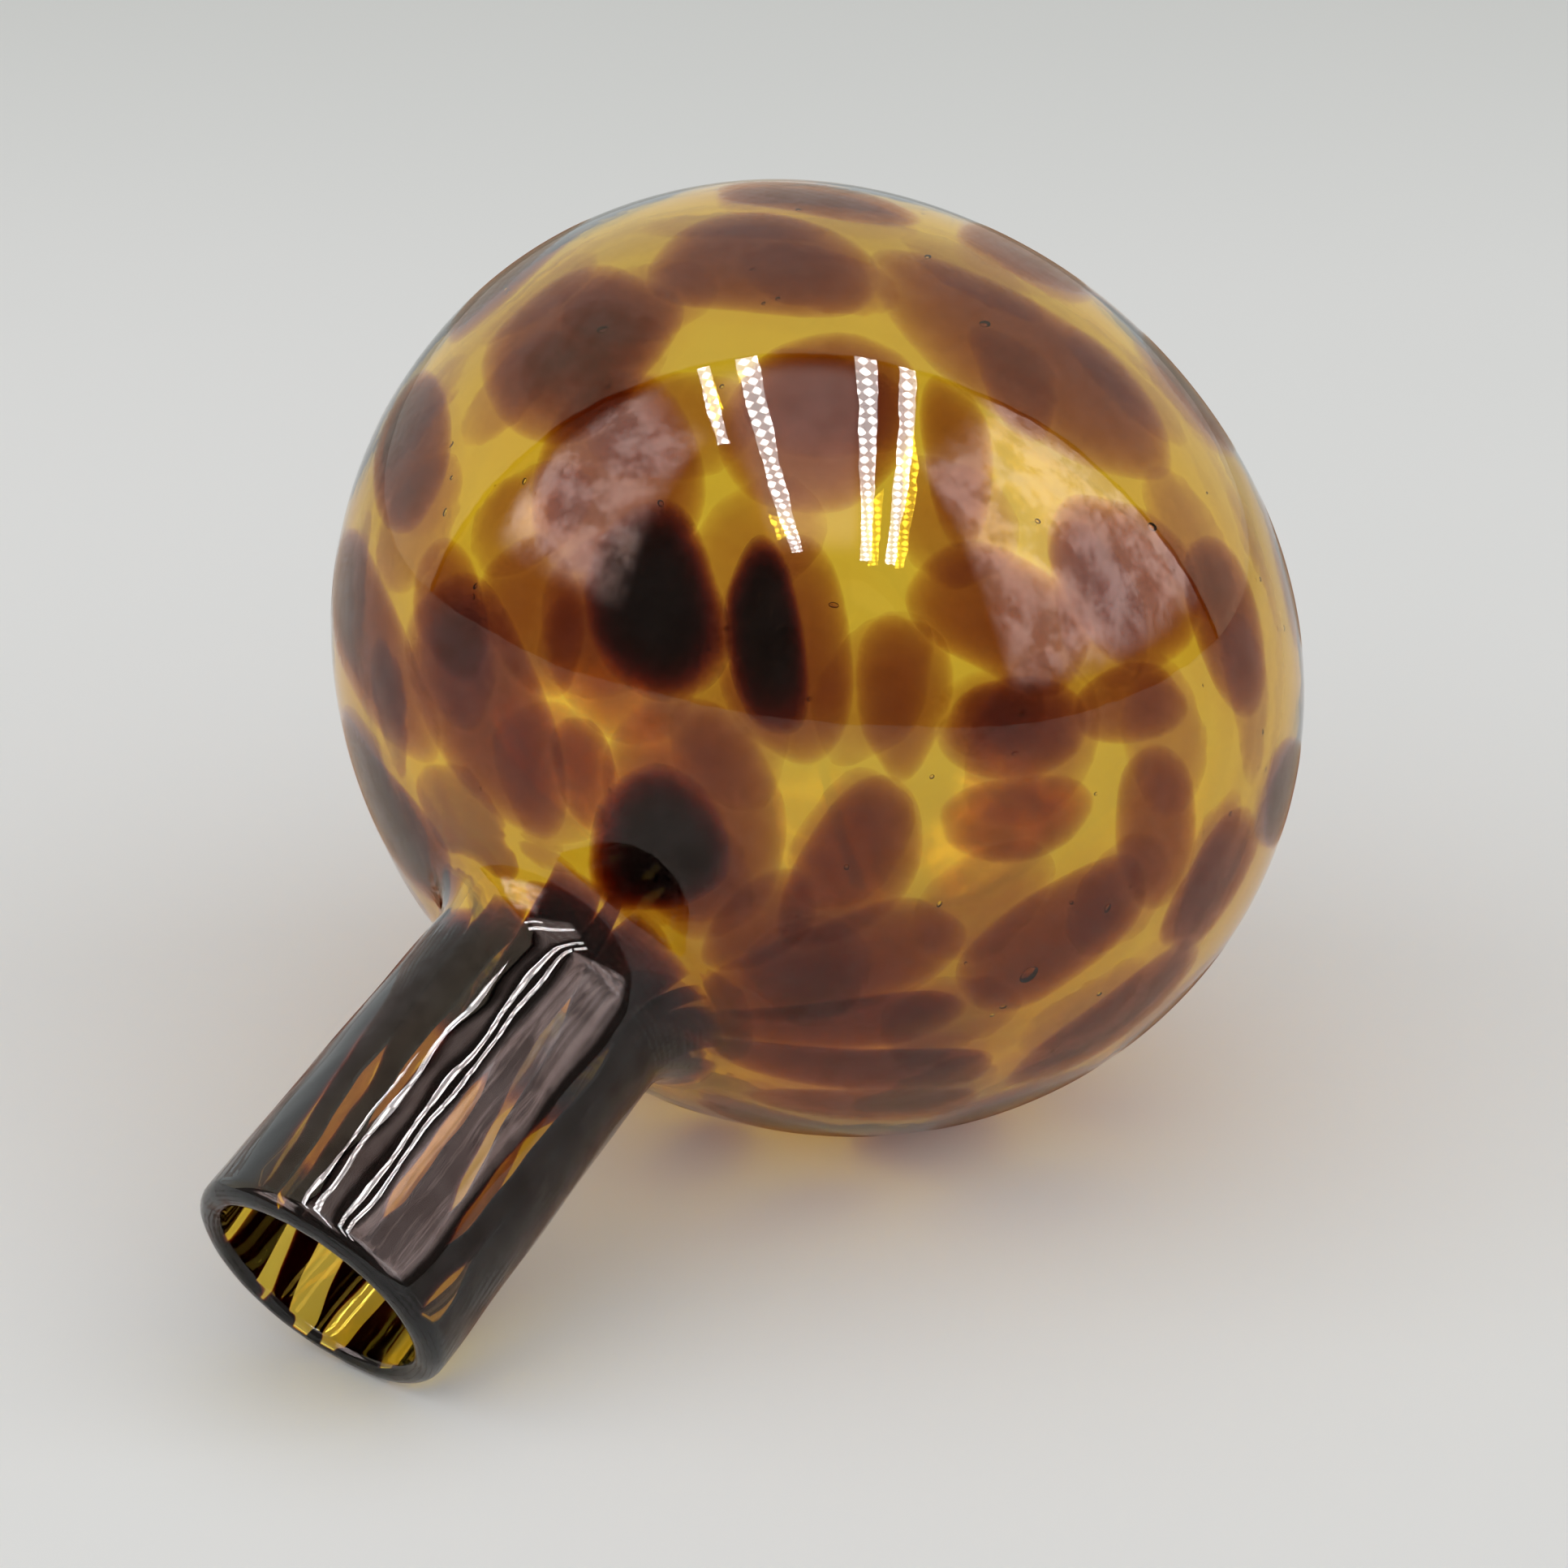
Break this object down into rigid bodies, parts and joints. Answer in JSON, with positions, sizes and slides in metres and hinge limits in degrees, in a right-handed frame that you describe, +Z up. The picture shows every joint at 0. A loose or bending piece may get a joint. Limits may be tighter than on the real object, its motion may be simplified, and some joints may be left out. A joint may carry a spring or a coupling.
{
  "type": "round flask",
  "caption": "Round-bodied art glass flask with a straight open neck and a rounded lip, lying on its side.",
  "frame": {"origin": "on the surface the flask lies on, under the middle of its bounding box", "axes": "+Z up, the neck points to -Y and slopes down to the surface, +X is square to the neck"},
  "size_m": [0.12, 0.1512, 0.1179],
  "materials": {
    "amber_glass": "clear, fire-polished",
    "brown_glass": "deep brown, fire-polished"
  },
  "bodies": {
    "root": {"amber_flask": "amber_glass", "back_pole_chip": "brown_glass", "front_chip_1": "brown_glass", "front_chip_10": "brown_glass", "front_chip_2": "brown_glass", "front_chip_3": "brown_glass", "front_chip_4": "brown_glass", "front_chip_5": "brown_glass", "front_chip_6": "brown_glass", "front_chip_7": "brown_glass", "front_chip_8": "brown_glass", "front_chip_9": "brown_glass", "girth_chip_1": "brown_glass", "girth_chip_10": "brown_glass", "girth_chip_11": "brown_glass", "girth_chip_2": "brown_glass", "girth_chip_3": "brown_glass", "girth_chip_4": "brown_glass", "girth_chip_5": "brown_glass", "girth_chip_6": "brown_glass", "girth_chip_7": "brown_glass", "girth_chip_8": "brown_glass", "girth_chip_9": "brown_glass", "girth_row_chips": "brown_glass", "inner_back_chips": "brown_glass", "left_underside_chips": "brown_glass", "middle_back_chips": "brown_glass", "neck_streak_1": "brown_glass", "neck_streak_10": "brown_glass", "neck_streak_11": "brown_glass", "neck_streak_12": "brown_glass", "neck_streak_2": "brown_glass", "neck_streak_3": "brown_glass", "neck_streak_4": "brown_glass", "neck_streak_5": "brown_glass", "neck_streak_6": "brown_glass", "neck_streak_7": "brown_glass", "neck_streak_8": "brown_glass", "neck_streak_9": "brown_glass", "outer_back_chips": "brown_glass", "right_underside_chips": "brown_glass", "shoulder_chip_1": "brown_glass", "shoulder_chip_2": "brown_glass", "shoulder_chip_3": "brown_glass", "shoulder_chip_4": "brown_glass", "shoulder_chip_5": "brown_glass", "shoulder_chip_6": "brown_glass", "shoulder_chip_7": "brown_glass", "shoulder_row_chips": "brown_glass", "small_chips": "brown_glass"}
  },
  "joints": []
}
